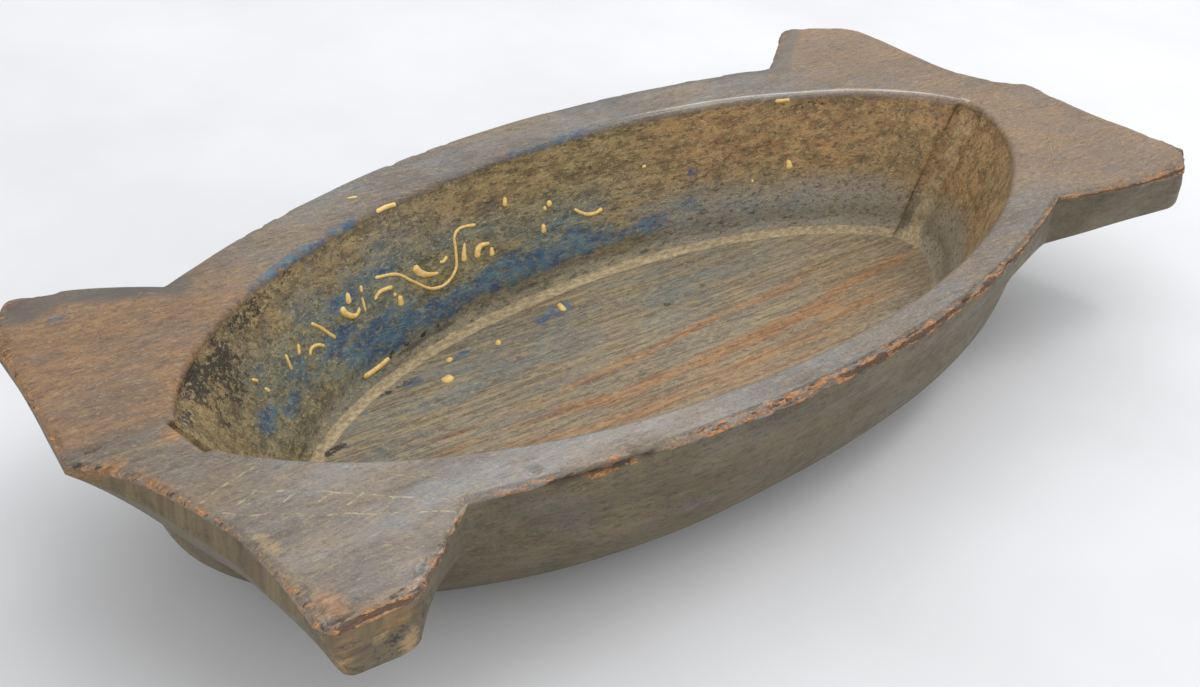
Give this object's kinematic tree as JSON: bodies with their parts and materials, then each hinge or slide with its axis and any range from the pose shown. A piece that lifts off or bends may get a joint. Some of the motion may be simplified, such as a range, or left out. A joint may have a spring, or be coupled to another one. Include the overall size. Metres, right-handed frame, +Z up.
{
  "type": "carved wooden dough bowl",
  "caption": "Hand-carved pointed-oval wooden bowl with a flat floor, a flat rim, a boat-shaped hull and flaring ears at its corners",
  "frame": {"origin": "under the middle of the bowl's bounding box, on the surface that the foot stands on", "axes": "+X runs along the bowl, +Y across it, +Z up out of the hollow"},
  "size_m": [0.6086, 0.264, 0.085],
  "materials": {
    "aged_wood": "hand-worn dark patina, satin, with rests of blue and yellow paint inside"
  },
  "bodies": {
    "root": {"carved_bowl": "aged_wood"}
  },
  "joints": []
}
